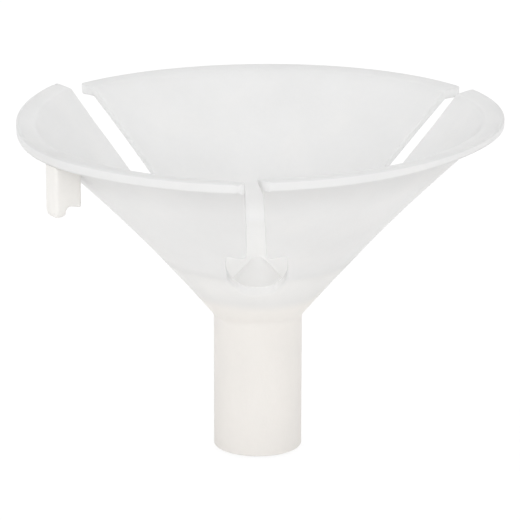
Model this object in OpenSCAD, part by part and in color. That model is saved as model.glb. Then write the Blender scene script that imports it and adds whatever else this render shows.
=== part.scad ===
// Balloon-stick cup: a small slotted cone on a socket stem.
// Origin: centre of the stick socket's mouth, at the stem's lower end. +Z up, front slot near -Y.
// The wall is split where it bends: one base cone, and three petals that flex at their roots.

/* [Stem] */
// Outside diameter of the stem
stem_d = 7.34; // [6.8:0.02:8]
// Height of the stem, from its open end to the start of the cone
stem_h = 11.45; // [9:0.05:14]
// Diameter of the stick socket
socket_d = 5.1; // [4:0.05:5.6]
// Radius on the outer edge of the stem's open end
stem_edge_r = 0.12; // [0.1:0.02:0.4]

/* [Socket cap] */
// Outside diameter of the cap that closes the socket
cap_d = 6.6; // [5.8:0.1:6.8]
// Height of the cap's straight side above the stem
cap_side_h = 1.5; // [1.2:0.1:2]
// Height of the cap's pointed roof above its side
cap_roof_h = 3.7; // [2.5:0.1:4]
// Radius that rounds the tip of the roof
cap_tip_r = 0.9; // [0.5:0.1:1.2]
// Diameter of the conical hollow above the stick's end stop
cap_hollow_d = 4.2; // [3:0.1:4.4]

/* [Cone] */
// Diameter over the lip
lip_d = 40.1; // [36:0.1:44]
// Height of the lip's top edge above the stem's open end
total_h = 28.3; // [27:0.1:30]
// Thickness of the cone's wall
wall_t = 0.54; // [0.46:0.02:0.8]
// How far the wall bows inward from a straight cone, at mid height
wall_bow = 0.36; // [0.1:0.01:0.8]

/* [Lip] */
// Width of the lip, measured along the radius
lip_w = 1.65; // [1.35:0.05:2]
// Thickness of the lip at its edge
lip_t = 1.02; // [0.8:0.02:1.2]
// How much the lip's top rises toward its outer edge
lip_rise = 0.27; // [0:0.01:0.5]
// Radius on the lip's two outer edges
lip_edge_r = 0.22; // [0.1:0.01:0.28]

/* [Slots] */
// Direction of the right-hand slot, counted from +X toward +Y
slot_right_a = 29.4; // [26:0.2:32]
// Width of the right-hand slot
slot_right_w = 2.25; // [1.2:0.05:3]
// Direction of the left-hand slot
slot_left_a = 145.6; // [143:0.2:149]
// Width of the left-hand slot
slot_left_w = 2.85; // [1.2:0.05:3]
// Direction of the front slot
slot_front_a = 270.8; // [268:0.2:273]
// Width of the front slot
slot_front_w = 1.6; // [1.2:0.05:3]
// Width of the window at the foot of each slot
window_w = 4.9; // [4.4:0.1:5.6]
// Distance from the axis to the window's straight outer side
window_out = 10.4; // [10:0.1:11]
// Distance from the axis to the window's inner end
window_in = 6.5; // [6:0.1:6.6]
// Radius on the window's two inner corners
window_corner_r = 1.7; // [1:0.1:1.7]
// Radius on the two lip corners beside each slot
slot_corner_r = 0.8; // [0.3:0.1:1.2]

/* [Petal roots] */
// Height of the plane where the petals start
root_z = 16.9; // [16.6:0.1:17.5]
// Gap that lets a petal rock on the base cone
root_gap = 0.15; // [0.1:0.01:0.2]
// Distance from the axis to each petal's bending line
bend_r = 7.0; // [6.8:0.1:7.4]
// How far the right petal leans in, degrees
lean_right = 0.65; // [-1:0.05:1.5]
// How far the right petal twists, raising its end at the right-hand slot, degrees
twist_right = 1.4; // [-1:0.1:2]
// How far the back petal leans in, degrees
lean_back = 0.1; // [-1:0.05:1]
// How far the back petal twists, raising its end at the right-hand slot, degrees
twist_back = 0.65; // [-1:0.05:1.5]
// How far the left petal leans in, degrees
lean_left = -0.65; // [-1.5:0.05:1]
// How far the left petal twists, raising its end at the left-hand slot, degrees
twist_left = 1.6; // [-1:0.1:2]

/* [Neck hook] */
// Direction of the hook under the left petal's lip
hook_a = 216.5; // [205:0.5:225]
// Thickness of the hook across the radius
hook_t = 1.8; // [1.2:0.1:2.4]
// Distance from the axis to the hook's inner side
hook_in = 17.65; // [17.3:0.05:18]
// Height of the hook's inner foot
hook_foot_z = 23.65; // [23.3:0.05:24.4]
// Height of the tip of the hook's outer prong
hook_tip_z = 23.1; // [22:0.05:23.2]
// Width of the prong, measured along the radius
hook_prong_w = 1.0; // [0.8:0.05:1.2]
// Radius of the notch that catches the neck of a balloon
hook_notch_r = 0.85; // [0.6:0.05:1]

/* [Hidden] */
$fn = 96;
stem_r = stem_d / 2;
socket_r = socket_d / 2;
cap_r = cap_d / 2;
lip_r = lip_d / 2;
lip_in = lip_r - lip_w;
lip_low = total_h - lip_t;
wall_steps = 10;
lip_overhang = 1.46;
wall_top_r = lip_r - lip_overhang;
wall_top_z = lip_low;
run_r = wall_top_r - stem_r;
run_z = wall_top_z - stem_h;
run = norm([run_r, run_z]);
normal = [run_z, -run_r] / run;
// Horizontal thickness of the sloping wall
wall_across = wall_t * run / run_z;
far = 30;
hook_out = lip_r - 0.05;
hook_tip_r = hook_prong_w / 2;
notch_r_pos = hook_out - hook_prong_w - hook_notch_r;
notch_z_pos = hook_foot_z - 0.55;

// Point on the wall's outer line, from 0 at the stem to 1 under the lip
function outer_point(t) =
    [stem_r + run_r * t, stem_h + run_z * t] - normal * 4 * wall_bow * t * (1 - t);

// Outer line from the stem to the lip, offset inward by a horizontal distance
function wall_line(inset) =
    [for (i = [0 : wall_steps]) outer_point(i / wall_steps) - [inset, 0]];

function reversed(list) = [for (i = [len(list) - 1 : -1 : 0]) list[i]];

// Angle of the sector between one slot and the next, counted anticlockwise
function sector(a, b) = (b - a + 360) % 360;

// Cross-section of the cone's wall
module wall_section() {
    polygon(concat(wall_line(0), reversed(wall_line(wall_across))));
}

// Cross-section of the lip, with two rounded outer edges
module lip_section() {
    flat = [
        [wall_top_r - wall_across, wall_top_z],
        [lip_r - lip_edge_r, lip_low],
        [lip_r - lip_edge_r, total_h],
        [lip_in, total_h - lip_rise]
    ];
    polygon(flat);
    translate([lip_r - 2 * lip_edge_r, lip_low + lip_edge_r])
        square([2 * lip_edge_r, lip_t - 2 * lip_edge_r]);
    for (z = [lip_low + lip_edge_r, total_h - lip_edge_r])
        translate([lip_r - lip_edge_r, z])
            circle(lip_edge_r);
}

// Plan of the window at a slot's foot: square outer corners, round inner corners
module window_plan() {
    foot_x = window_in + window_corner_r;
    corner_y = window_w / 2 - window_corner_r;
    translate([foot_x, -window_w / 2])
        square([window_out - foot_x, window_w]);
    translate([window_in, -corner_y])
        square([window_corner_r, 2 * corner_y]);
    for (side = [-1, 1])
        translate([foot_x, side * corner_y])
            circle(window_corner_r);
}

// Plan of one slot: its window, parallel sides and rounded mouth
module slot_plan(width) {
    mouth_y = width / 2 + slot_corner_r;
    mouth_x = lip_r - slot_corner_r;
    window_plan();
    translate([window_in + window_corner_r, -width / 2])
        square([far, width]);
    difference() {
        translate([mouth_x, -mouth_y])
            square([far - mouth_x, 2 * mouth_y]);
        for (side = [-1, 1])
            translate([mouth_x, side * mouth_y])
                circle(slot_corner_r);
    }
}

module slot(a, width) {
    rotate([0, 0, a])
        linear_extrude(height = far)
            slot_plan(width);
}

// The three slots, cut straight down
module slots() {
    slot(slot_right_a, slot_right_w);
    slot(slot_left_a, slot_left_w);
    slot(slot_front_a, slot_front_w);
}

// Leans a petal's pieces about its bending line, and twists them about the radius through its middle
module set_off(a, b, lean, twist) {
    middle = a + sector(a, b) / 2;
    rotate([0, 0, middle])
        translate([bend_r, 0, root_z])
            rotate([twist, 0, 0])
                rotate([0, -lean, 0])
                    translate([-bend_r, 0, -root_z])
                        rotate([0, 0, -middle])
                            children();
}

// Sector of a ring between two slots
module ring_sector(a, b) {
    rotate([0, 0, a])
        rotate_extrude(angle = sector(a, b))
            children();
}

// A petal's wall, cut level at its root after it is leaned and twisted
module petal(a, b, lean, twist) {
    difference() {
        set_off(a, b, lean, twist)
            difference() {
                ring_sector(a, b)
                    wall_section();
                slots();
            }
        translate([-far, -far, -far])
            cube([2 * far, 2 * far, far + root_z + root_gap]);
    }
}

module lip(a, b, lean, twist) {
    set_off(a, b, lean, twist)
        difference() {
            ring_sector(a, b)
                lip_section();
            slots();
        }
}

module stem() {
    color("ivory")
        rotate_extrude()
            difference() {
                union() {
                    translate([socket_r, 0])
                        square([stem_r - stem_edge_r - socket_r, stem_h]);
                    translate([socket_r, stem_edge_r])
                        square([stem_r - socket_r, stem_h - stem_edge_r]);
                    translate([stem_r - stem_edge_r, stem_edge_r])
                        circle(stem_edge_r);
                }
                square([socket_r, stem_h]);
            }
}

module socket_cap() {
    roof_z = stem_h + cap_side_h;
    slope = atan2(cap_roof_h, cap_r);
    tip_z = roof_z + cap_roof_h - cap_tip_r / cos(slope);
    tangent = cap_tip_r * [sin(slope), cos(slope)];
    color("ivory")
        rotate_extrude()
            difference() {
                union() {
                    translate([0, stem_h])
                        square([cap_r, cap_side_h]);
                    polygon([
                        [0, roof_z], [cap_r, roof_z],
                        [tangent[0], tip_z + tangent[1]], [0, tip_z + tangent[1]]
                    ]);
                    intersection() {
                        translate([0, tip_z])
                            circle(cap_tip_r);
                        translate([0, tip_z])
                            square(cap_tip_r);
                    }
                }
                polygon([
                    [0, stem_h], [cap_hollow_d / 2, stem_h], [0, stem_h + cap_hollow_d / 2]
                ]);
            }
}

module base_cone() {
    color("whitesmoke")
        difference() {
            rotate_extrude()
                difference() {
                    union() {
                        wall_section();
                        translate([cap_r, stem_h])
                            square([stem_r - cap_r, cap_side_h * 0.6]);
                    }
                    square([cap_r, far]);
                    translate([0, root_z])
                        square([lip_r, far]);
                }
            slots();
        }
}

module petal_right() {
    color("whitesmoke")
        petal(slot_front_a, slot_right_a, lean_right, twist_right);
}

module petal_back() {
    color("whitesmoke")
        petal(slot_right_a, slot_left_a, lean_back, -twist_back);
}

module petal_left() {
    color("whitesmoke")
        petal(slot_left_a, slot_front_a, lean_left, -twist_left);
}

module lip_right() {
    color("white")
        lip(slot_front_a, slot_right_a, lean_right, twist_right);
}

module lip_back() {
    color("white")
        lip(slot_right_a, slot_left_a, lean_back, -twist_back);
}

module lip_left() {
    color("white")
        lip(slot_left_a, slot_front_a, lean_left, -twist_left);
}

// Side view of the hook: a fin with a round-tipped prong and a notch
module hook_side() {
    difference() {
        union() {
            translate([hook_in, hook_foot_z])
                square([hook_out - hook_in, total_h - hook_foot_z]);
            translate([hook_out - hook_prong_w, hook_tip_z + hook_tip_r])
                square([hook_prong_w, total_h - hook_tip_z - hook_tip_r]);
            translate([hook_out - hook_tip_r, hook_tip_z + hook_tip_r])
                circle(hook_tip_r);
        }
        translate([notch_r_pos, notch_z_pos])
            circle(hook_notch_r);
    }
}

// Everything above the wall's outer side and the lip's underside
module above_wall() {
    rotate_extrude()
        polygon(concat(
            wall_line(0),
            [[lip_r, lip_low], [far, lip_low], [far, far], [0, far], [0, stem_h]]
        ));
}

module neck_hook() {
    color("ivory")
        set_off(slot_left_a, slot_front_a, lean_left, -twist_left)
            difference() {
                rotate([0, 0, hook_a])
                    rotate([90, 0, 0])
                        translate([0, 0, -hook_t / 2])
                            linear_extrude(height = hook_t)
                                hook_side();
                above_wall();
            }
}

stem();
socket_cap();
base_cone();
petal_right();
petal_back();
petal_left();
lip_right();
lip_back();
lip_left();
neck_hook();
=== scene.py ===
import math

import bpy
import numpy as np
from mathutils import Matrix, Vector
from mathutils.geometry import delaunay_2d_cdt


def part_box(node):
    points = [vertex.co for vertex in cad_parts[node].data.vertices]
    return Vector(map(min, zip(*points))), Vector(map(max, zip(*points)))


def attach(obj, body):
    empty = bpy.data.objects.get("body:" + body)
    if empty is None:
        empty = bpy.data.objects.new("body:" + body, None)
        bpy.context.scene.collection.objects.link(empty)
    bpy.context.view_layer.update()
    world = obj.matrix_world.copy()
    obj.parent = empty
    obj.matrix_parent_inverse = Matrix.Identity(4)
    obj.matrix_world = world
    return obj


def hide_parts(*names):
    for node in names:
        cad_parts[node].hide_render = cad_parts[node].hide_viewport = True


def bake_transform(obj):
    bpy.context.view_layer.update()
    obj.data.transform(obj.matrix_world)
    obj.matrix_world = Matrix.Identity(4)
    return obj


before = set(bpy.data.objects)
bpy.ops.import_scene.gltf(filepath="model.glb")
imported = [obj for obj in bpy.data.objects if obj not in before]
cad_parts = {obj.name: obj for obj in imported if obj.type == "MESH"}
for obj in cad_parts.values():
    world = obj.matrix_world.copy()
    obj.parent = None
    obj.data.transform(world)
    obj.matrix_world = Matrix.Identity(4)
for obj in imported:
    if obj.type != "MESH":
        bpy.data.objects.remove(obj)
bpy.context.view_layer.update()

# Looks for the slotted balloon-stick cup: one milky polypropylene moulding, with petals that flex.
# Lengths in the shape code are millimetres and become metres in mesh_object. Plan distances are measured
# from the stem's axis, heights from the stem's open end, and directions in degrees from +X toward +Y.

MM = 0.001
TURN = 2 * math.pi


# ---------------------------------------------------------------- sizes of the moulding, in millimetres

STEM_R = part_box("stem")[1].x / MM
STEM_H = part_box("stem")[1].z / MM
STEM_EDGE_R = 0.12
SOCKET_R = 2.55
SOCKET_MOUTH_R = 0.1
SOCKET_STEP_R = 0.03

CAP_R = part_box("socket_cap")[1].x / MM
CAP_SIDE_H = 1.5
CAP_ROOF_H = 3.7
CAP_TIP_R = 0.9
CAP_HOLLOW_R = 2.1

LIP_R = 20.05
TOTAL_H = 28.3
LIP_W = 1.65
LIP_T = 1.02
LIP_RISE = 0.27
LIP_EDGE_R = 0.26
WALL_T = 0.54
WALL_BOW = 0.36
WALL_STEEPNESS = 1.3
FOOT_FILLET_R = 0.9

# Each slot: its direction in degrees from +X toward +Y, and its width
SLOTS = {"right": (29.4, 2.25), "left": (145.6, 2.85), "front": (270.8, 1.6)}
WINDOW_W = 4.9
WINDOW_OUT = 10.4
WINDOW_IN = 6.5
WINDOW_CORNER_R = 1.7
SLOT_FOOT_R = 0.4
WINDOW_OUTER_R = 0.35
CUT_EDGE_R = 0.13

ROOT_R = 7.9
BEND_R = 7.0
ROOT_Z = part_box("base_cone")[1].z / MM

HOOK_A = 216.5
HOOK_T = 1.8
HOOK_IN = 17.65
HOOK_ROOF_Z = 23.77
HOOK_TIP_Z = 23.1
HOOK_PRONG_W = 1.0
HOOK_NOTCH_R = 0.35
HOOK_EDGE_R = 0.3
HOOK_TIP_ROUND = 0.9

# Each petal: its two slots anticlockwise, its lean toward the axis and its twist in degrees, and the plan
# radius of its two lip corners
PETALS = {
    "right": dict(start="front", end="right", lean=0.65, twist=1.4, corners=(1.0, 0.6)),
    "back": dict(start="right", end="left", lean=0.1, twist=-0.65, corners=(0.3, 0.5)),
    "left": dict(start="left", end="front", lean=-0.65, twist=-1.6, corners=(0.5, 0.6)),
}

# Lasting bends of the thin wall: how far it has moved, where it is centred and how wide it is, in degrees
# round the axis, or in millimetres along the lip for the two corners beside the front slot
SIDE_LEAN = 0.27
SIDE_LEAN_FRONT_Y = -17
SIDE_LEAN_RAMP = 15
SIDE_LEAN_BACK_RAMP = 12
SIDE_LEAN_BACK_LOSS = 0.4
HOOK_END_DROOP = 0.28
HOOK_END_AT = 205
HOOK_END_WIDTH = 22
LEFT_END_PULL = 0.4
LEFT_END_AT = 146
LEFT_END_WIDTH = 14
LEFT_CORNER_DROOP = 0.28
LEFT_CORNER_AT = 268.3
LEFT_CORNER_WIDTH = 0.9
RIGHT_CORNER_PULL = 0.45
RIGHT_CORNER_AT = 273.1
RIGHT_CORNER_WIDTH = 0.7
RIGHT_END_DROP = 0.4
CORNER_DEPTH = 0.75

# The lip is thinner on the right
LIP_THINNING = 0.24
THIN_LIP_AT = 332
THIN_LIP_WIDTH = 26


# ---------------------------------------------------------------- the wall's section

LIP_IN = LIP_R - LIP_W
LIP_LOW = TOTAL_H - LIP_T
LIP_OVERHANG = 1.46
WALL_TOP = np.array([LIP_R - LIP_OVERHANG, LIP_LOW])
WALL_FOOT = np.array([STEM_R, STEM_H])
RUN = WALL_TOP - WALL_FOOT
RUN_LENGTH = float(np.hypot(*RUN))
WALL_ACROSS = WALL_T * RUN_LENGTH / RUN[1]


def rounded(points, radii, steps=6):
    """A polyline whose corners are turned with arcs of the given radii."""
    points = [np.array(p, float) for p in points]
    line = [points[0]]
    for before, here, after, radius in zip(points, points[1:], points[2:], radii[1:]):
        to_before = (before - here) / np.hypot(*(before - here))
        to_after = (after - here) / np.hypot(*(after - here))
        half = math.acos(float(np.clip(to_before @ to_after, -1, 1))) / 2
        if radius <= 0 or half > math.pi / 2 - 0.01:
            line.append(here)
            continue
        reach = radius / math.tan(half)
        centre = here + (to_before + to_after) / np.hypot(*(to_before + to_after)) * radius / math.sin(half)
        first = here + to_before * reach - centre
        last = here + to_after * reach - centre
        swing = math.atan2(first[0] * last[1] - first[1] * last[0], float(first @ last))
        for k in range(steps + 1):
            c, s = math.cos(swing * k / steps), math.sin(swing * k / steps)
            line.append(centre + np.array([c * first[0] - s * first[1], s * first[0] + c * first[1]]))
    line.append(points[-1])
    return np.array(line)


def bowed_wall(steps=40):
    """Outer line of the wall, from the stem to the underside of the lip."""
    t = np.linspace(0, 1, steps + 1)[:, None]
    normal = np.array([RUN[1], -RUN[0]]) / RUN_LENGTH
    return WALL_FOOT + RUN * t - normal * 4 * WALL_BOW * t * (1 - t)


WALL_LINE = bowed_wall()
UNDERSIDE = rounded([WALL_LINE[-6], WALL_TOP, [LIP_R + 1, LIP_LOW + 0.08]], [0, 0.35, 0])
FOOT_FILLET = rounded([WALL_FOOT - [0, 2], WALL_FOOT, WALL_LINE[6]], [0, FOOT_FILLET_R, 0], steps=8)[1:]
UNDERSIDE = np.vstack([FOOT_FILLET, WALL_LINE[7:-6], UNDERSIDE])
JUNCTION_Z = FOOT_FILLET[0][1]
LIP_TOP = [[LIP_IN, TOTAL_H - LIP_RISE], [LIP_R + 1, TOTAL_H + 0.17]]
INSIDE = rounded([WALL_LINE[-6] - [WALL_ACROSS, 0], *LIP_TOP], [0, 0.25, 0])
INSIDE = np.vstack([WALL_LINE[:-6] - [WALL_ACROSS, 0], INSIDE])


def low_side(r):
    """Height of the moulding's outer side over plan radius r."""
    return np.interp(r, UNDERSIDE[:, 0], UNDERSIDE[:, 1])


def cap_roof(r):
    """Height of the pointed cap over the stick socket, falling steeply past its side."""
    slope = CAP_ROOF_H / CAP_R
    tip = CAP_ROOF_H + STEM_H + CAP_SIDE_H - CAP_TIP_R * (math.hypot(1, slope) - 1)
    ball = tip - CAP_TIP_R + np.sqrt(np.maximum(CAP_TIP_R ** 2 - r ** 2, 0))
    touch = CAP_TIP_R * slope / math.hypot(1, slope)
    cone = STEM_H + CAP_SIDE_H + CAP_ROOF_H - slope * r
    side = STEM_H + CAP_SIDE_H - 9 * (r - CAP_R)
    return np.where(r < touch, ball, np.minimum(cone, side))


def high_side(r):
    """Height of the moulding's inner side over plan radius r, with a soft fillet at the foot of the cap."""
    wall = np.interp(r, INSIDE[:, 0], INSIDE[:, 1])
    cap = cap_roof(r)
    soft = 0.12
    gap = np.clip(0.5 + 0.5 * (cap - wall) / soft, 0, 1)
    return wall * (1 - gap) + cap * gap + soft * gap * (1 - gap)


# ---------------------------------------------------------------- the plan of the slots

def turned(points, degrees):
    """Plan points turned round the axis."""
    c, s = math.cos(math.radians(degrees)), math.sin(math.radians(degrees))
    return np.asarray(points, float) @ np.array([[c, s], [-s, c]])


def spaced(line, step):
    """The same polyline with evenly spaced points."""
    lengths = np.concatenate([[0], np.cumsum(np.hypot(*np.diff(line, axis=0).T))])
    count = max(2, int(round(lengths[-1] / step)))
    at = np.linspace(0, lengths[-1], count + 1)
    return np.stack([np.interp(at, lengths, line[:, k]) for k in (0, 1)], 1)


def slot_side(half, corner_r):
    """One side of a slot in its own frame, from the lip's circle inward to the window's innermost point."""
    mouth = [[LIP_R, half + 3 * corner_r], [LIP_R, half]]
    window = [[WINDOW_OUT, half], [WINDOW_OUT, WINDOW_W / 2], [WINDOW_IN, WINDOW_W / 2], [WINDOW_IN, 0]]
    radii = [0, corner_r, SLOT_FOOT_R, WINDOW_OUTER_R, WINDOW_CORNER_R, 0]
    edge = rounded(mouth + window, radii, steps=12)
    edge = edge[np.hypot(*edge.T) <= LIP_R + 1e-6]
    return spaced(edge, 0.13)


def slot_sides():
    """Both sides of each slot: (slot angle, +1 or -1) to a polyline in plan."""
    sides = {}
    for petal in PETALS.values():
        for end, sign, corner_r in zip(("start", "end"), (1, -1), petal["corners"]):
            slot = petal[end]
            angle, width = SLOTS[slot]
            side = slot_side(width / 2, corner_r) * [1, sign]
            sides[slot, sign] = turned(side, angle)
    return sides


SIDES = slot_sides()
CUT_POINTS = np.vstack([spaced(side, 0.03) for side in SIDES.values()])


def distance_to_cuts(points):
    """Plan distance from each point to the nearest slot or window edge."""
    points = np.asarray(points, float)
    best = np.full(len(points), 1e9)
    for block in range(0, len(CUT_POINTS), 400):
        part = CUT_POINTS[block:block + 400]
        apart = np.hypot(points[:, None, 0] - part[None, :, 0], points[:, None, 1] - part[None, :, 1])
        best = np.minimum(best, apart.min(1))
    return best


def edge_round(distance, radius):
    """How far a face is drawn in, at this distance from an edge that is rounded with this radius."""
    inside = np.clip(radius - distance, 0, radius)
    return radius - np.sqrt(radius ** 2 - inside ** 2)


def ease(x):
    """A soft step from 0 to 1."""
    x = np.clip(x, 0, 1)
    return x * x * (3 - 2 * x)


def hump(x, width):
    """A round rise to 1 at 0."""
    return np.exp(-(x / width) ** 2)


def faces_at(points):
    """Heights of the outer and inner side at plan points, with the edges rounded."""
    r = np.hypot(points[:, 0], points[:, 1])
    beside_cuts = edge_round(distance_to_cuts(points), CUT_EDGE_R)
    round_lip = edge_round(np.maximum(LIP_R - r, 0), LIP_EDGE_R)
    drawn_in = np.maximum(beside_cuts, round_lip)
    slope = np.where(r < WALL_TOP[0] - 0.3, WALL_STEEPNESS, 1.0)
    azimuth = np.degrees(np.arctan2(points[:, 1], points[:, 0])) % 360
    thinner = LIP_THINNING * hump(azimuth - THIN_LIP_AT, THIN_LIP_WIDTH) * ease((r - LIP_IN + 0.6) / 0.8)
    return low_side(r) + thinner + drawn_in * slope, high_side(r) - drawn_in * slope


# ---------------------------------------------------------------- plan meshes

RINGS = [0.02, 0.05, 0.09, 0.14, 0.24]


def crossing(side, radius):
    """Where a slot's side, running inward, crosses a circle round the axis: next index, and the point."""
    r = np.hypot(side[:, 0], side[:, 1])
    k = int(np.argmax(r < radius))
    share = (r[k - 1] - radius) / (r[k - 1] - r[k])
    return k, side[k - 1] + (side[k] - side[k - 1]) * share


def arc_points(start, end, radius, step_mm):
    """Points from one plan point to another round the axis, anticlockwise, both ends left out."""
    a = math.atan2(start[1], start[0])
    b = math.atan2(end[1], end[0])
    swing = (b - a) % TURN
    count = max(2, int(round(swing * radius / step_mm)))
    at = a + swing * np.arange(1, count) / count
    return radius * np.stack([np.cos(at), np.sin(at)], 1)


def root_arc(petal):
    """The seam between a petal and the base cone, in plan, anticlockwise, with denser ends."""
    first = crossing(SIDES[petal["start"], 1], ROOT_R)[1]
    last = crossing(SIDES[petal["end"], -1], ROOT_R)[1]
    even = arc_points(first, last, ROOT_R, 0.35)
    fine = arc_points(first, last, ROOT_R, 0.01)
    apart = distance_to_cuts(fine)
    even = even[distance_to_cuts(even) > RINGS[-1] + 0.1]
    middle = len(fine) // 2
    starts = np.array([fine[np.argmax(apart[:middle] > d)] for d in RINGS])
    ends = np.array([fine[len(fine) - 1 - np.argmax(apart[::-1][:middle] > d)] for d in RINGS])
    return np.vstack([first, starts, even, ends[::-1], last])


def petal_outline(petal):
    """Closed plan outline of a petal, anticlockwise from its first slot's lip corner."""
    near = SIDES[petal["start"], 1]
    far = SIDES[petal["end"], -1]
    k_near = crossing(near, ROOT_R)[0]
    k_far = crossing(far, ROOT_R)[0]
    first, last = (math.degrees(math.atan2(p[1], p[0])) for p in (near[0], far[0]))
    rays = np.radians(np.arange(math.ceil(first + 0.3), math.floor(first + (last - first) % 360 - 0.3) + 1))
    lip = LIP_R * np.stack([np.cos(rays), np.sin(rays)], 1)
    return np.vstack([near[0], lip, far[:k_far], root_arc(petal)[::-1], near[1:k_near][::-1]])


def ring_rows(rows, step_deg):
    """Points on circles round the axis, on the same rays."""
    at = np.radians(np.arange(0, 360, step_deg))
    return np.vstack([np.stack([r * np.cos(at), r * np.sin(at)], 1) for r in rows])


def inside(points, outline):
    """Even-odd test of plan points against a closed outline."""
    x, y = points[:, 0][:, None], points[:, 1][:, None]
    x0, y0 = outline[:, 0][None], outline[:, 1][None]
    x1, y1 = np.roll(x0, -1), np.roll(y0, -1)
    rising = (y0 > y) != (y1 > y)
    with np.errstate(divide="ignore", invalid="ignore"):
        hit = rising & (x < (x1 - x0) * (y - y0) / (y1 - y0) + x0)
    return hit.sum(1) % 2 == 1


def ring_points(outline):
    """Points on lines that follow the cut edges at the distances in RINGS."""
    found = []
    for side in SIDES.values():
        along = np.gradient(side, axis=0)
        normal = np.stack([-along[:, 1], along[:, 0]], 1) / np.hypot(*along.T)[:, None]
        for d in RINGS:
            for sign in (-1, 1):
                found.append(side + normal * d * sign)
    points = np.vstack(found)
    points = points[inside(points, outline)]
    r = np.hypot(points[:, 0], points[:, 1])
    near = distance_to_cuts(points)
    level = np.min(np.abs(near[:, None] - np.array(RINGS)[None]), 1) < 0.006
    return points[level & (r < LIP_R - 0.015) & (np.abs(r - ROOT_R) > 0.04)]


def thinned(points, gap):
    """Drops points that nearly coincide with an earlier one."""
    kept = {}
    for p in points:
        kept.setdefault((round(p[0] / gap), round(p[1] / gap)), p)
    return np.array(list(kept.values()))


def triangulated(outline, inner, loops=()):
    """Triangles that fill an outline, keeping its points first and in order."""
    points = np.vstack([outline, *loops, inner])
    edges = []
    start = 0
    for loop in (outline, *loops):
        count = len(loop)
        edges += [(start + k, start + (k + 1) % count) for k in range(count)]
        start += count
    made = delaunay_2d_cdt([Vector(p) for p in points], edges, [], 0, 1e-6)
    corners = np.array([v[:] for v in made[0]])
    triangles = np.array([t for t in made[2] if len(t) == 3])
    middles = corners[triangles].mean(1)
    triangles = triangles[inside(middles, outline)]
    return corners, triangles


def boundary_loops(triangles):
    """Directed boundary edges of a set of triangles, as (from, to) pairs."""
    edges = set()
    for a, b, c in triangles:
        edges.update(((a, b), (b, c), (c, a)))
    return [(a, b) for a, b in edges if (b, a) not in edges]


def mesh_object(name, points, faces):
    """A mesh from millimetre points, shaded smooth, with unused points dropped."""
    points = np.asarray(points, float) * MM
    used = sorted({k for face in faces for k in face})
    new = {old: k for k, old in enumerate(used)}
    mesh = bpy.data.meshes.new(name)
    mesh.from_pydata(points[used].tolist(), [], [[new[k] for k in face] for face in faces])
    mesh.polygons.foreach_set("use_smooth", [True] * len(mesh.polygons))
    mesh.validate()
    mesh.set_sharp_from_angle(angle=math.radians(40))
    mesh.update()
    obj = bpy.data.objects.new(name, mesh)
    bpy.context.scene.collection.objects.link(obj)
    return obj


def slab(corners, triangles, low, high, skip_low=None):
    """Closes a plan mesh into a solid sheet. skip_low marks the triangles that have no lower face."""
    count = len(corners)
    points = np.vstack([np.column_stack([corners, low]), np.column_stack([corners, high])])
    faces = [(a + count, b + count, c + count) for a, b, c in triangles.tolist()]
    lower = triangles if skip_low is None else triangles[~skip_low]
    faces += [(c, b, a) for a, b, c in lower.tolist()]
    for a, b in boundary_loops(triangles.tolist()):
        faces.append((a, b, b + count, a + count))
    return points, faces


# ---------------------------------------------------------------- petals

WALL_ROWS = np.concatenate([np.arange(ROOT_R + 0.3, 17.2, 0.55), [17.4, 17.65, 17.85]])
LIP_ROWS = np.concatenate([
    [18.0, 18.12, 18.24, 18.36, 18.48, 18.6, 18.72, 18.84, 18.96, 19.1, 19.3],
    LIP_R - np.array([0.55, 0.4, 0.3, 0.23, 0.17, 0.12, 0.08, 0.045, 0.02, 0.006])])


def middle_of(petal):
    """Direction of the middle of a petal, in radians."""
    start, end = SLOTS[petal["start"]][0], SLOTS[petal["end"]][0]
    return math.radians(start + ((end - start) % 360) / 2)


def leaned(points, petal):
    """Points of a petal turned about its bending line by its lean, then twisted about its own middle."""
    middle = middle_of(petal)
    out = np.array([math.cos(middle), math.sin(middle), 0])
    side = np.array([-math.sin(middle), math.cos(middle), 0])
    pivot = out * BEND_R + [0, 0, ROOT_Z]
    offset = points - pivot
    radial, across, up = offset @ out, offset @ side, offset[:, 2]
    c, s = math.cos(math.radians(petal["lean"])), math.sin(math.radians(petal["lean"]))
    radial, up = radial * c - up * s, radial * s + up * c
    c, s = math.cos(math.radians(petal["twist"])), math.sin(math.radians(petal["twist"]))
    across, up = across * c - up * s, across * s + up * c
    return pivot + np.outer(radial, out) + np.outer(across, side) + np.outer(up, [0, 0, 1])


def settled(points):
    """Small lasting bends: the sides lean to +X, and the lip droops by the hook and is uneven at slots."""
    x, y, z = points.T
    r = np.hypot(x, y)
    azimuth = np.degrees(np.arctan2(y, x)) % 360
    reach = ease((r - ROOT_R) / (LIP_R - ROOT_R))
    out = points.copy()
    grown = ease((y - SIDE_LEAN_FRONT_Y) / SIDE_LEAN_RAMP)
    out[:, 0] += SIDE_LEAN * reach * grown * (1 - SIDE_LEAN_BACK_LOSS * ease(y / SIDE_LEAN_BACK_RAMP))
    left_end = hump(azimuth - LEFT_END_AT, LEFT_END_WIDTH) * (azimuth > SLOTS["left"][0])
    out[:, 0] -= LEFT_END_PULL * reach * left_end
    out[:, 2] -= HOOK_END_DROOP * reach * hump(azimuth - HOOK_END_AT, HOOK_END_WIDTH)
    corner = hump(r - LIP_IN, CORNER_DEPTH)
    front = SLOTS["front"][0]
    left = corner * hump(np.radians(azimuth - LEFT_CORNER_AT) * r, LEFT_CORNER_WIDTH) * (azimuth < front)
    right = corner * hump(np.radians(azimuth - RIGHT_CORNER_AT) * r, RIGHT_CORNER_WIDTH) * (azimuth > front)
    out[:, 2] -= LEFT_CORNER_DROOP * left
    out[:, 0] -= RIGHT_CORNER_PULL * right * ease((z + RIGHT_END_DROP - low_side(r)) / 0.8)
    return out


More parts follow.
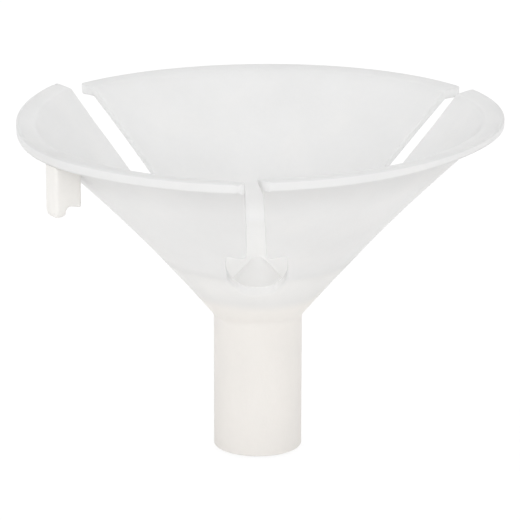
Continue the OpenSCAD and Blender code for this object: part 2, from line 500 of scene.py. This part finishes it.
def petal_skin(side):
    """One petal with its lip, as a single closed shell that starts at the root seam."""
    petal = PETALS[side]
    outline = petal_outline(petal)
    grid = np.vstack([ring_rows(WALL_ROWS, 1.5), ring_rows(LIP_ROWS, 1)])
    grid = grid[inside(grid, outline) | (np.hypot(*grid.T) > LIP_R - 0.01)]
    grid = grid[distance_to_cuts(grid) > RINGS[-1] + 0.12]
    grid = grid[inside(grid * (1 - 1e-4), outline)]
    inner = thinned(np.vstack([ring_points(outline), grid]), 0.012)
    corners, triangles = triangulated(outline, inner)
    points, faces = slab(corners, triangles, *faces_at(corners))
    r = np.hypot(points[:, 0], points[:, 1])
    leaning = leaned(points, petal)
    share = ease((r - ROOT_R) / 1.5)[:, None]
    points = settled(points * (1 - share) + leaning * share)
    return mesh_object("petal_" + side + "_skin", points, faces)


# ---------------------------------------------------------------- base cone, cap and stem as one piece

AROUND = 120
HUB_ROWS = [0.12, 0.3, 0.5, 0.75, 1.1, 1.5, 1.9, 2.3, 2.7, 3.0, 3.2, 3.28, 3.32, 3.36, 3.41, 3.48, 3.58]
HUB_ROWS += [STEM_R + d for d in (0.012, 0.03, 0.06, 0.1, 0.15, 0.21, 0.28, 0.4, 0.6)]
HUB_ROWS += list(np.arange(4.6, ROOT_R - 0.1, 0.4))


def hub_outline():
    """Plan outline of the base cone, anticlockwise, with a bite for each window."""
    parts = []
    for name in ("right", "back", "left"):
        petal = PETALS[name]
        arc = root_arc(petal)
        before = SIDES[petal["end"], -1]
        after = SIDES[petal["end"], 1]
        k_before = crossing(before, ROOT_R)[0]
        k_after = crossing(after, ROOT_R)[0]
        bite = np.vstack([before[k_before:], after[k_after:-1][::-1]])
        parts += [arc, bite]
    return np.vstack(parts)


def stem_section():
    """Half section of the stem below the cone: down the outside, round the end, up the socket."""
    outside = [[STEM_R, JUNCTION_Z], [STEM_R, 0]]
    socket = [[SOCKET_R, 0], [SOCKET_R, STEM_H], [CAP_HOLLOW_R, STEM_H], [0.0, STEM_H + CAP_HOLLOW_R]]
    radii = [0, STEM_EDGE_R, SOCKET_MOUTH_R, SOCKET_STEP_R, SOCKET_STEP_R, 0]
    line = rounded(outside + socket, radii, steps=7)
    tall = []
    for a, b in zip(line, line[1:]):
        parts = max(1, int(abs(b[1] - a[1]) // 0.9))
        tall += [a + (b - a) * k / parts for k in range(parts)]
    return np.array([*tall, line[-1]])


def hub_skin():
    """Stem, socket cap and base cone in one closed shell."""
    outline = hub_outline()
    at = TURN * np.arange(AROUND) / AROUND
    circle = STEM_R * np.stack([np.cos(at), np.sin(at)], 1)
    grid = ring_rows(HUB_ROWS, 3)
    grid = grid[inside(grid, outline)]
    r = np.hypot(*grid.T)
    clear = (distance_to_cuts(grid) > RINGS[-1] + 0.12) & (r < ROOT_R - 0.15)
    inner = thinned(np.vstack([[[0, 0]], ring_points(outline), grid[clear]]), 0.012)
    corners, triangles = triangulated(outline, inner, [circle])
    low, high = faces_at(corners)
    within = np.hypot(*corners[triangles].mean(1).T) < STEM_R
    points, faces = slab(corners, triangles, low, high, skip_low=within)
    stem_edge = len(outline)
    section = stem_section()
    ring = [stem_edge + k for k in range(AROUND)]
    points[ring, 2] = JUNCTION_Z
    for r, z in section[1:-1]:
        start = len(points)
        points = np.vstack([points, np.column_stack([r * np.cos(at), r * np.sin(at), np.full(AROUND, z)])])
        new_ring = [start + k for k in range(AROUND)]
        for k in range(AROUND):
            n = (k + 1) % AROUND
            faces.append((ring[n], ring[k], new_ring[k], new_ring[n]))
        ring = new_ring
    points = np.vstack([points, [[0, 0, section[-1][1]]]])
    for k in range(AROUND):
        faces.append((ring[(k + 1) % AROUND], ring[k], len(points) - 1))
    return mesh_object("stem_and_base_skin", points, faces)


# ---------------------------------------------------------------- neck hook

def hook_outline():
    """The hook from the side, anticlockwise: distance from the axis, and height. Its top is in the wall."""
    out = LIP_R - 0.05
    prong_in = out - HOOK_PRONG_W
    top_r = WALL_TOP[0] - 0.2
    foot = [[HOOK_IN, low_side(HOOK_IN) + 0.35], [HOOK_IN, HOOK_ROOF_Z - 0.05]]
    foot += [[prong_in, HOOK_ROOF_Z + 0.3]]
    prong = [[prong_in, HOOK_TIP_Z], [out, HOOK_TIP_Z], [out, LIP_LOW + 0.1]]
    line = rounded(
        [*foot, *prong, [top_r, low_side(top_r) + 0.35]],
        [0, 0.15, HOOK_NOTCH_R, 0.35, 0.5, 0, 0], steps=8)
    return spaced(np.vstack([line, line[:1]]), 0.09)[:-1]


def distance_to(points, line):
    """Distance from each point to the nearest point of a line."""
    return np.hypot(points[:, None, 0] - line[None, :, 0], points[:, None, 1] - line[None, :, 1]).min(1)


def hook_skin():
    """The notched fin under the left lip, with soft edges."""
    outline = hook_outline()
    x, z = np.meshgrid(np.arange(17.2, 20.1, 0.16), np.arange(22.4, 28.4, 0.16))
    grid = np.stack([x.ravel(), z.ravel()], 1)
    along = np.gradient(outline, axis=0)
    normal = np.stack([-along[:, 1], along[:, 0]], 1) / np.hypot(*along.T)[:, None]
    rings = [outline + normal * d * sign for d in (0.03, 0.08, 0.15, 0.24, 0.33) for sign in (-1, 1)]
    inner = np.vstack([*rings, grid])
    inner = inner[inside(inner, outline)]
    inner = thinned(inner[distance_to(inner, outline) > 0.025], 0.04)
    corners, triangles = triangulated(outline, inner)
    drawn_in = edge_round(distance_to(corners, outline), HOOK_EDGE_R)
    above_tip = np.clip((corners[:, 1] - HOOK_TIP_Z) / HOOK_TIP_ROUND, 0, 1)
    half = HOOK_T / 2 * (0.45 + 0.55 * np.sqrt(1 - (1 - above_tip) ** 2))
    flat, faces = slab(corners, triangles, drawn_in - half, half - drawn_in)
    a = math.radians(HOOK_A)
    out = np.array([math.cos(a), math.sin(a), 0])
    across = np.array([math.sin(a), -math.cos(a), 0])
    points = np.outer(flat[:, 0], out) + np.outer(flat[:, 1], [0, 0, 1]) + np.outer(flat[:, 2], across)
    points = settled(leaned(points, PETALS["left"]))
    return mesh_object("neck_hook_skin", points, faces)


# ---------------------------------------------------------------- materials

def new_group(name, inputs, outputs):
    """A shader node group with named sockets: its tree, its input node and its output node."""
    tree = bpy.data.node_groups.new(name, "ShaderNodeTree")
    for label, kind, value in inputs:
        socket = tree.interface.new_socket(label, in_out="INPUT", socket_type=kind)
        socket.default_value = value
    for label, kind in outputs:
        tree.interface.new_socket(label, in_out="OUTPUT", socket_type=kind)
    return tree, tree.nodes.new("NodeGroupInput"), tree.nodes.new("NodeGroupOutput")


def add(tree, kind, **settings):
    """A new node with its settings."""
    node = tree.nodes.new(kind)
    for key, value in settings.items():
        setattr(node, key, value)
    return node


def noise(tree, scale, detail=3.0, roughness=0.5, stretch=None):
    """Noise over the moulding's own coordinates. Scale is in features per metre."""
    where = add(tree, "ShaderNodeTexCoord").outputs["Object"]
    if stretch:
        mapping = add(tree, "ShaderNodeMapping")
        mapping.inputs["Scale"].default_value = stretch
        tree.links.new(where, mapping.inputs["Vector"])
        where = mapping.outputs["Vector"]
    node = add(tree, "ShaderNodeTexNoise")
    tree.links.new(where, node.inputs["Vector"])
    node.inputs["Scale"].default_value = scale
    node.inputs["Detail"].default_value = detail
    node.inputs["Roughness"].default_value = roughness
    return node.outputs["Fac"]


def math_node(tree, operation, *values, clamp=False):
    """A Math node whose inputs are numbers or other nodes' outputs."""
    node = add(tree, "ShaderNodeMath", operation=operation, use_clamp=clamp)
    for k, value in enumerate(values):
        if isinstance(value, (int, float)):
            node.inputs[k].default_value = value
        else:
            tree.links.new(value, node.inputs[k])
    return node.outputs[0]


def map_range(tree, value, low, high, to_low, to_high, smooth=False):
    """A Map Range node whose inputs are numbers or other nodes' outputs."""
    node = add(tree, "ShaderNodeMapRange", interpolation_type="SMOOTHSTEP" if smooth else "LINEAR")
    sockets = ("Value", "From Min", "From Max", "To Min", "To Max")
    for socket, given in zip(sockets, (value, low, high, to_low, to_high)):
        if isinstance(given, (int, float)):
            node.inputs[socket].default_value = given
        else:
            tree.links.new(given, node.inputs[socket])
    return node.outputs["Result"]


def mix_colour(tree, factor, a, b, blend="MIX"):
    """A Mix node for colours."""
    node = add(tree, "ShaderNodeMix", data_type="RGBA", blend_type=blend)
    sockets = {"Factor": node.inputs[0], "A": node.inputs[6], "B": node.inputs[7]}
    for label, value in (("Factor", factor), ("A", a), ("B", b)):
        if isinstance(value, (int, float, tuple)):
            sockets[label].default_value = value
        else:
            tree.links.new(value, sockets[label])
    return node.outputs[2]


def grey(tree, value):
    """A grey colour from one number."""
    node = add(tree, "ShaderNodeCombineColor")
    for k in range(3):
        tree.links.new(value, node.inputs[k])
    return node.outputs[0]


# How far a surface has to face up or down before it counts: where the soft step starts and ends
FACES_UP = (0.15, 0.5)
FACES_DOWN = (-0.5, -0.15)


def place_and_facing(tree):
    """The moulding's own coordinates, the height, and how far the surface faces up (1) or down (-1)."""
    where = add(tree, "ShaderNodeTexCoord")
    place = add(tree, "ShaderNodeSeparateXYZ")
    tree.links.new(where.outputs["Object"], place.inputs[0])
    facing = add(tree, "ShaderNodeSeparateXYZ")
    tree.links.new(where.outputs["Normal"], facing.inputs[0])
    return where.outputs["Object"], place.outputs["Z"], facing.outputs["Z"]


def flow_tone_group():
    """Milky tone: a warm colour low on the moulding, a cool one high up, more of the brighter warm colour
    on down-facing surfaces as a warmer tint and painted light, faint clouds and dust specks.
    """
    tree, given, made = new_group(
        "flow tone",
        [("Warm Colour", "NodeSocketColor", (0.8, 0.78, 0.74, 1)),
         ("Cool Colour", "NodeSocketColor", (0.78, 0.78, 0.79, 1)),
         ("Warm Below", "NodeSocketFloat", 0.010),
         ("Cool Above", "NodeSocketFloat", 0.020),
         ("Cloud Depth", "NodeSocketFloat", 0.03),
         ("Speck Depth", "NodeSocketFloat", 0.3)],
        [("Color", "NodeSocketColor")])
    where, height, facing = place_and_facing(tree)
    cooler = map_range(tree, facing, *FACES_UP, 0.0, 0.0012, True)
    level = math_node(tree, "ADD", height, cooler)
    cool = map_range(tree, level, given.outputs["Warm Below"], given.outputs["Cool Above"], 0.0, 1.0, True)
    waver = map_range(tree, noise(tree, 260, 2.0), 0.3, 0.7, -0.12, 0.12)
    # Down-facing surfaces take up to 15% more of the warm colour: a warmer tint, and painted light, as the
    # warm colour is brighter.
    warm_tint_and_painted_light = map_range(tree, facing, *FACES_DOWN, 0.15, 0.0, True)
    cool = math_node(tree, "ADD", cool, waver, clamp=True)
    cool = math_node(tree, "SUBTRACT", cool, warm_tint_and_painted_light, clamp=True)
    tone = mix_colour(tree, cool, given.outputs["Warm Colour"], given.outputs["Cool Colour"])
    wide = noise(tree, 170, 3.0, 0.55, stretch=(1.0, 1.0, 0.5))
    fine = noise(tree, 1900, 2.0, 0.6)
    wide = math_node(tree, "MULTIPLY", wide, 0.75)
    clouds = math_node(tree, "ADD", wide, math_node(tree, "MULTIPLY", fine, 0.25))
    clouds = map_range(tree, clouds, 0.35, 0.65, -1.0, 1.0)
    depth = math_node(tree, "MULTIPLY", clouds, given.outputs["Cloud Depth"])
    shade = math_node(tree, "ADD", 1.0, depth)
    cells = add(tree, "ShaderNodeTexVoronoi", feature="F1")
    cells.inputs["Scale"].default_value = 300
    tree.links.new(where, cells.inputs["Vector"])
    near = map_range(tree, cells.outputs["Distance"], 0.012, 0.03, 1.0, 0.0, True)
    pick = add(tree, "ShaderNodeSeparateColor")
    tree.links.new(cells.outputs["Color"], pick.inputs[0])
    chosen = math_node(tree, "GREATER_THAN", pick.outputs[0], 0.93)
    speck = math_node(tree, "MULTIPLY", near, chosen)
    speck = math_node(tree, "MULTIPLY", speck, given.outputs["Speck Depth"])
    shade = math_node(tree, "SUBTRACT", shade, speck)
    tone = mix_colour(tree, 1.0, tone, grey(tree, shade), "MULTIPLY")
    tree.links.new(tone, made.inputs["Color"])
    return tree


def satin_skin_group():
    """Satin finish of the mould: a fine etched grain, faint rubbed patches and hairline scuffs."""
    tree, given, made = new_group(
        "satin skin",
        [("Grain Size", "NodeSocketFloat", 5200.0),
         ("Smooth Roughness", "NodeSocketFloat", 0.4),
         ("Rough Roughness", "NodeSocketFloat", 0.52),
         ("Scuff Depth", "NodeSocketFloat", 0.4)],
        [("Roughness", "NodeSocketFloat"), ("Height", "NodeSocketFloat")])
    grain = add(tree, "ShaderNodeTexNoise")
    tree.links.new(add(tree, "ShaderNodeTexCoord").outputs["Object"], grain.inputs["Vector"])
    tree.links.new(given.outputs["Grain Size"], grain.inputs["Scale"])
    grain.inputs["Detail"].default_value = 3.0
    patches = noise(tree, 420, 3.0)
    scuffs = noise(tree, 900, 2.0, 0.4, stretch=(6.0, 0.7, 0.9))
    scuffs = map_range(tree, scuffs, 0.64, 0.7, 0.0, 1.0, True)
    scuffs = math_node(tree, "MULTIPLY", scuffs, given.outputs["Scuff Depth"])
    smoothest = given.outputs["Smooth Roughness"]
    roughest = given.outputs["Rough Roughness"]
    scratch = math_node(tree, "MULTIPLY", scuffs, 0.15)
    rough = map_range(tree, patches, 0.35, 0.65, smoothest, roughest)
    rough = math_node(tree, "ADD", rough, scratch, clamp=True)
    etched = math_node(tree, "MULTIPLY", grain.outputs["Fac"], 0.3)
    height = math_node(tree, "ADD", etched, math_node(tree, "MULTIPLY", patches, 0.7))
    height = math_node(tree, "SUBTRACT", height, scratch)
    tree.links.new(rough, made.inputs["Roughness"])
    tree.links.new(height, made.inputs["Height"])
    return tree


def painted_light_group():
    """Painted light and shade on the colour: brighter in the bowl and at the cone's foot, darker under and
    round the lip and toward the stem's open end.
    """
    tree, given, made = new_group(
        "painted light and shade",
        [("Bowl Painted Light", "NodeSocketFloat", 0.2),
         ("Foot Painted Light", "NodeSocketFloat", 0.07),
         ("Lip Shade", "NodeSocketFloat", 0.12),
         ("Rim Shade", "NodeSocketFloat", 0.12),
         ("Stem End Shade", "NodeSocketFloat", 0.01)],
        [("Gain", "NodeSocketFloat")])
    where, height, facing = place_and_facing(tree)
    flat = add(tree, "ShaderNodeVectorMath", operation="MULTIPLY")
    tree.links.new(where, flat.inputs[0])
    flat.inputs[1].default_value = (1, 1, 0)
    radius = add(tree, "ShaderNodeVectorMath", operation="LENGTH")
    tree.links.new(flat.outputs[0], radius.inputs[0])
    upward = map_range(tree, facing, *FACES_UP, 0.0, 1.0, True)
    downward = map_range(tree, facing, *FACES_DOWN, 1.0, 0.0, True)
    low_in_bowl = map_range(tree, height, 0.0170, 0.0190, 1.0, 0.0, True)
    low_on_cone = map_range(tree, height, 0.0140, 0.0205, 1.0, 0.0, True)
    above_stem = map_range(tree, height, 0.0132, 0.0160, 0.0, 1.0, True)
    below_lip = map_range(tree, height, 0.0235, 0.0272, 0.0, 1.0, True)
    near_rim = map_range(tree, radius.outputs["Value"], 0.0178, 0.0199, 0.0, 1.0)
    foot = math_node(tree, "MULTIPLY", downward, low_on_cone)
    # Painted light on the up-facing bowl and on the down-facing cone just above the stem; painted shade on
    # down-facing surfaces under the lip, on up-facing surfaces near the rim and toward the stem's open end.
    changes = (
        ("ADD", "Bowl Painted Light", math_node(tree, "MULTIPLY", upward, low_in_bowl)),
        ("ADD", "Foot Painted Light", math_node(tree, "MULTIPLY", foot, above_stem)),
        ("SUBTRACT", "Lip Shade", math_node(tree, "MULTIPLY", downward, below_lip)),
        ("SUBTRACT", "Rim Shade", math_node(tree, "MULTIPLY", upward, near_rim)),
        ("SUBTRACT", "Stem End Shade", map_range(tree, height, 0.0, 0.009, 1.0, 0.0)))
    gain = 1.0
    for operation, label, mask in changes:
        gain = math_node(tree, operation, gain, math_node(tree, "MULTIPLY", mask, given.outputs[label]))
    tree.links.new(gain, made.inputs["Gain"])
    return tree


FLOW_TONE = flow_tone_group()
PAINTED_LIGHT = painted_light_group()
SATIN_SKIN = satin_skin_group()
GRAIN_DEPTH = 0.00006


def placed(tree, group, values):
    """A shader node group in a material, with its own values."""
    node = add(tree, "ShaderNodeGroup", node_tree=group)
    for label, value in values.items():
        node.inputs[label].default_value = value
    return node


def milky_plastic(name, tone, painted_light_values, skin, through, light_through, bump):
    """Natural polypropylene: a satin body that lets part of the light through."""
    material = bpy.data.materials.new(name)
    material.use_nodes = True
    tree = material.node_tree
    shader = tree.nodes["Principled BSDF"]
    output = tree.nodes["Material Output"]
    flow = placed(tree, FLOW_TONE, tone)
    painted_light_node = placed(tree, PAINTED_LIGHT, painted_light_values)
    satin = placed(tree, SATIN_SKIN, skin)
    relief = add(tree, "ShaderNodeBump")
    relief.inputs["Strength"].default_value = bump
    relief.inputs["Distance"].default_value = GRAIN_DEPTH
    tree.links.new(satin.outputs["Height"], relief.inputs["Height"])
    # The base colour is multiplied by the gain of painted light and shade.
    gain = grey(tree, painted_light_node.outputs["Gain"])
    colour = mix_colour(tree, 1.0, flow.outputs["Color"], gain, "MULTIPLY")
    tree.links.new(colour, shader.inputs["Base Color"])
    tree.links.new(satin.outputs["Roughness"], shader.inputs["Roughness"])
    tree.links.new(relief.outputs["Normal"], shader.inputs["Normal"])
    shader.inputs["IOR"].default_value = 1.49
    shader.inputs["Specular IOR Level"].default_value = 0.35
    glow = add(tree, "ShaderNodeBsdfTranslucent")
    glow.inputs["Color"].default_value = light_through
    tree.links.new(relief.outputs["Normal"], glow.inputs["Normal"])
    blend = add(tree, "ShaderNodeMixShader")
    blend.inputs[0].default_value = through
    tree.links.new(shader.outputs[0], blend.inputs[1])
    tree.links.new(glow.outputs[0], blend.inputs[2])
    tree.links.new(blend.outputs[0], output.inputs["Surface"])
    return material


# ---------------------------------------------------------------- build

WALL_TONE = {
    "Warm Colour": (0.864, 0.838, 0.808, 1),
    "Cool Colour": (0.754, 0.754, 0.752, 1),
    "Warm Below": 0.0126,
    "Cool Above": 0.0140,
    "Cloud Depth": 0.02,
    "Speck Depth": 0.35,
}
# Strengths of the light and shade painted into the wall colour.
WALL_PAINTED_LIGHT = {
    "Bowl Painted Light": 0.2,
    "Foot Painted Light": 0.07,
    "Lip Shade": 0.12,
    "Rim Shade": 0.12,
    "Stem End Shade": 0.01,
}
WALL_SKIN = {
    "Grain Size": 5200.0,
    "Smooth Roughness": 0.4,
    "Rough Roughness": 0.52,
    "Scuff Depth": 0.35,
}
HOOK_TONE = {
    "Warm Colour": (0.82, 0.805, 0.782, 1),
    "Cool Colour": (0.83, 0.815, 0.79, 1),
    "Warm Below": 0.0225,
    "Cool Above": 0.027,
    "Cloud Depth": 0.03,
    "Speck Depth": 0.3,
}
HOOK_PAINTED_LIGHT = {label: 0.0 for label in WALL_PAINTED_LIGHT}
HOOK_SKIN = {
    "Grain Size": 4600.0,
    "Smooth Roughness": 0.42,
    "Rough Roughness": 0.55,
    "Scuff Depth": 0.5,
}
WALL = (WALL_TONE, WALL_PAINTED_LIGHT, WALL_SKIN)
HOOK = (HOOK_TONE, HOOK_PAINTED_LIGHT, HOOK_SKIN)
thin_plastic = milky_plastic("milky thin wall", *WALL, 0.3, (0.86, 0.86, 0.86, 1), 0.35)
thick_plastic = milky_plastic("milky stem", *WALL, 0.3, (0.87, 0.86, 0.84, 1), 0.35)
hook_plastic = milky_plastic("milky hook", *HOOK, 0.2, (0.87, 0.86, 0.83, 1), 0.4)

hub = hub_skin()
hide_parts("stem", "socket_cap", "base_cone")
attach(hub, "hub")
hub.data.materials.append(thick_plastic)

for side in PETALS:
    skin = petal_skin(side)
    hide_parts("petal_" + side, "lip_" + side)
    skin.data.materials.append(thin_plastic)
    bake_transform(skin)

hook = hook_skin()
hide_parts("neck_hook")
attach(hook, "left_petal")
hook.data.materials.append(hook_plastic)


# ---------------------------------------------------------------- floor, light, camera

def white_floor():
    """A lit white sweep: the camera sees it as plain white, with a trace of shade under the cup."""
    material = bpy.data.materials.new("white floor")
    material.use_nodes = True
    tree = material.node_tree
    shader = tree.nodes["Principled BSDF"]
    grain = noise(tree, 40, 4.0)
    tone = map_range(tree, grain, 0.3, 0.7, 0.95, 0.97)
    tree.links.new(grey(tree, tone), shader.inputs["Base Color"])
    shader.inputs["Roughness"].default_value = 0.9
    shader.inputs["Specular IOR Level"].default_value = 0.0
    lit = add(tree, "ShaderNodeEmission")
    lit.inputs["Strength"].default_value = 1.02
    seen = add(tree, "ShaderNodeLightPath")
    blend = add(tree, "ShaderNodeMixShader")
    tree.links.new(math_node(tree, "MULTIPLY", seen.outputs["Is Camera Ray"], 0.88), blend.inputs[0])
    tree.links.new(shader.outputs[0], blend.inputs[1])
    tree.links.new(lit.outputs[0], blend.inputs[2])
    tree.links.new(blend.outputs[0], tree.nodes["Material Output"].inputs["Surface"])
    return material


floor_mesh = bpy.data.meshes.new("floor")
floor_mesh.from_pydata([(-4, -4, 0), (4, -4, 0), (4, 4, 0), (-4, 4, 0)], [], [(0, 1, 2, 3)])
floor = bpy.data.objects.new("floor", floor_mesh)
bpy.context.scene.collection.objects.link(floor)
floor.location.z = -0.0002
floor.data.materials.append(white_floor())

world = bpy.data.worlds.new("studio")
bpy.context.scene.world = world
world.use_nodes = True
world.node_tree.nodes["Background"].inputs["Color"].default_value = (1, 1, 1, 1)
world.node_tree.nodes["Background"].inputs["Strength"].default_value = 1.1


def soft_box(name, azimuth, elevation, distance, size, power):
    """A square light that points at the cup. Azimuth 0 is the front, positive to the right."""
    a, e = math.radians(azimuth), math.radians(elevation)
    data = bpy.data.lights.new(name, "AREA")
    data.shape = "SQUARE"
    data.size = size
    data.energy = power
    light = bpy.data.objects.new(name, data)
    bpy.context.scene.collection.objects.link(light)
    toward = Vector((math.sin(a) * math.cos(e), -math.cos(a) * math.cos(e), math.sin(e)))
    light.location = Vector((0, 0, 0.016)) + toward * distance
    light.rotation_euler = toward.to_track_quat("Z", "Y").to_euler()


soft_box("front light", -3, 26, 1.5, 1.0, 4.8)
soft_box("left light", -62, 4, 1.5, 1.0, 0.7)
soft_box("top light", 15, 76, 1.2, 0.5, 1.2)

bpy.context.scene.view_settings.view_transform = "Standard"

CAMERA_ELEVATION = math.radians(15.926)
CAMERA_AZIMUTH = math.radians(1.440)
CAMERA_ROLL = math.radians(0.135)
CAMERA_DISTANCE = 0.251575
CAMERA_TARGET = Vector((0, 0, 0.0159688))

camera_data = bpy.data.cameras.new("camera")
camera = bpy.data.objects.new("camera", camera_data)
bpy.context.scene.collection.objects.link(camera)
back = Vector((
    math.sin(CAMERA_AZIMUTH) * math.cos(CAMERA_ELEVATION),
    -math.cos(CAMERA_AZIMUTH) * math.cos(CAMERA_ELEVATION),
    math.sin(CAMERA_ELEVATION)))
right = Vector((math.cos(CAMERA_AZIMUTH), math.sin(CAMERA_AZIMUTH), 0))
up = back.cross(right)
c, s = math.cos(CAMERA_ROLL), math.sin(CAMERA_ROLL)
right, up = right * c + up * s, up * c - right * s
turn = Matrix((right, up, back)).transposed().to_4x4()
camera.matrix_world = Matrix.Translation(CAMERA_TARGET + back * CAMERA_DISTANCE) @ turn
camera_data.lens = 210.02
camera_data.sensor_width = 36
camera_data.shift_x = 0.003827
camera_data.clip_start = 0.01
camera_data.clip_end = 20
bpy.context.scene.camera = camera
